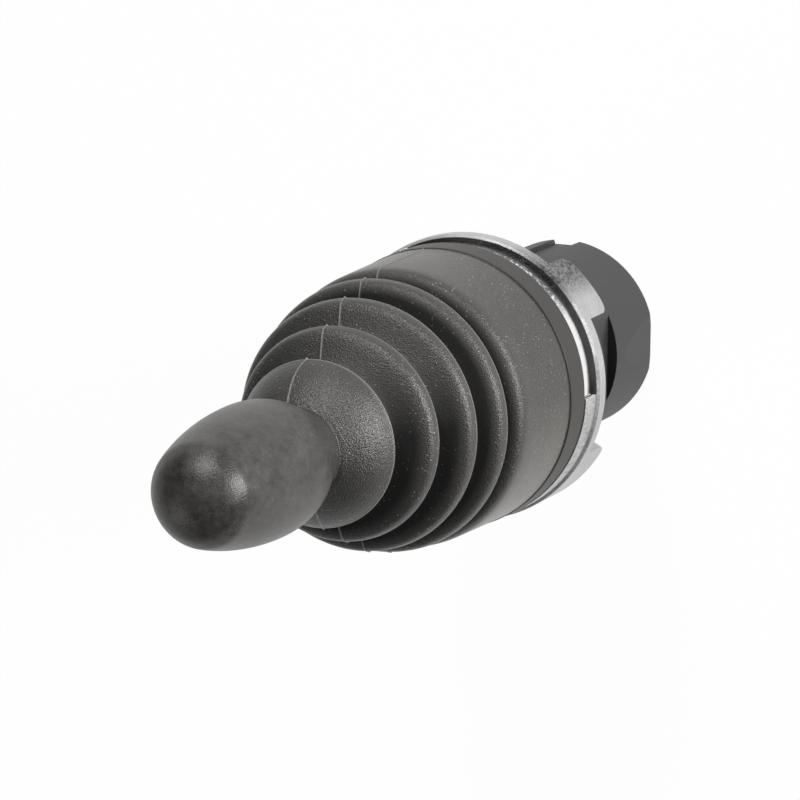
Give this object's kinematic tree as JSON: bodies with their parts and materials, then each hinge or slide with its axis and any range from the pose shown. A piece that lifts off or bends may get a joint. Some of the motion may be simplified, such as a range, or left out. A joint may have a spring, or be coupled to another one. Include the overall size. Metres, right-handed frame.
{
  "type": "panel joystick operator head",
  "caption": "Industrial joystick head for a round panel hole, with a tapered knob on a ribbed rubber boot, a die-cast clamp ring and a plain barrel behind.",
  "frame": {"origin": "on the barrel's axis, in the plane where the clamp ring's tabs sit on the panel's front", "axes": "+Z out of the panel towards the knob, +Y the side of the barrel's locating groove, +X the side of the barrel's flat"},
  "size_m": [0.0322, 0.0322, 0.0972],
  "materials": {
    "black_plastic": "matt moulded plastic, dark grey",
    "sealing_rubber": "soft black seal rubber",
    "die_cast_metal": "matt die-cast zinc with a grainy skin",
    "bright_plating": "bright plated",
    "brown_plastic": "smooth satin plastic, dark brown-grey",
    "boot_rubber": "dark grey rubber with a fine grain",
    "frame_plastic": "glass-filled plastic, mid grey",
    "bearing_bronze": "sintered bronze",
    "plain_steel": "plated steel",
    "spring_steel": "spring steel, oiled",
    "white_acetal": "natural acetal, satin",
    "turned_brass": "turned brass",
    "knob_plastic": "satin moulded plastic with a fine pebble"
  },
  "bodies": {
    "operator_head": {"housing_barrel": "black_plastic", "panel_gasket": "sealing_rubber", "clamp_ring": "die_cast_metal", "plated_sleeve": "bright_plating", "front_collar": "brown_plastic", "boot_carrier": "black_plastic", "rubber_boot": "boot_rubber", "pivot_frame": "frame_plastic", "pivot_bushes": "bearing_bronze", "gate_plate": "plain_steel", "frame_screws": "plain_steel", "gate_screws": "plain_steel", "plunger_guide": "white_acetal", "rear_cover": "black_plastic", "rear_retaining_ring": "spring_steel", "return_spring": "spring_steel", "plunger_spring_e": "spring_steel", "plunger_spring_n": "spring_steel", "plunger_spring_w": "spring_steel", "plunger_spring_s": "spring_steel"},
    "gimbal": {"gimbal_ring": "frame_plastic", "outer_pivot_pins": "plain_steel", "inner_pivot_pins": "plain_steel"},
    "lever": {"lever_hub": "white_acetal", "lever_shaft": "plain_steel", "actuator_disc": "frame_plastic", "disc_clip": "spring_steel", "spring_cup": "white_acetal", "cup_clip": "spring_steel", "neck_sleeve": "black_plastic", "lock_nut": "plain_steel", "knob_insert": "turned_brass", "knob": "knob_plastic"},
    "plunger_body_e": {"plunger_e": "white_acetal"},
    "plunger_body_n": {"plunger_n": "white_acetal"},
    "plunger_body_w": {"plunger_w": "white_acetal"},
    "plunger_body_s": {"plunger_s": "white_acetal"}
  },
  "joints": [
    {"name": "tilt_x", "type": "hinge", "parent": "operator_head", "child": "gimbal", "pos_m": [0, 0, 0.011], "axis": [1, 0, 0], "range_deg": [-12, 12], "stiffness_Nm_per_rad": 0.6, "deforming": ["rubber_boot", "return_spring"]},
    {"name": "tilt_y", "type": "hinge", "parent": "gimbal", "child": "lever", "pos_m": [0, 0, 0.011], "axis": [0, 1, 0], "range_deg": [-12, 12], "stiffness_Nm_per_rad": 0.6, "deforming": ["rubber_boot", "return_spring"]},
    {"name": "plunger_slide_e", "type": "slide", "parent": "operator_head", "child": "plunger_body_e", "axis": [0, 0, 1], "range_m": [-0.00136, 0.00136], "deforming": ["plunger_spring_e"]},
    {"name": "plunger_slide_n", "type": "slide", "parent": "operator_head", "child": "plunger_body_n", "axis": [0, 0, 1], "range_m": [-0.00136, 0.00136], "deforming": ["plunger_spring_n"]},
    {"name": "plunger_slide_w", "type": "slide", "parent": "operator_head", "child": "plunger_body_w", "axis": [0, 0, 1], "range_m": [-0.00136, 0.00136], "deforming": ["plunger_spring_w"]},
    {"name": "plunger_slide_s", "type": "slide", "parent": "operator_head", "child": "plunger_body_s", "axis": [0, 0, 1], "range_m": [-0.00136, 0.00136], "deforming": ["plunger_spring_s"]}
  ],
  "couplings": [
    {"joint": "plunger_slide_e", "follows": "tilt_y", "m_per_rad": -0.0064},
    {"joint": "plunger_slide_n", "follows": "tilt_x", "m_per_rad": 0.0064},
    {"joint": "plunger_slide_w", "follows": "tilt_y", "m_per_rad": 0.0064},
    {"joint": "plunger_slide_s", "follows": "tilt_x", "m_per_rad": -0.0064}
  ]
}
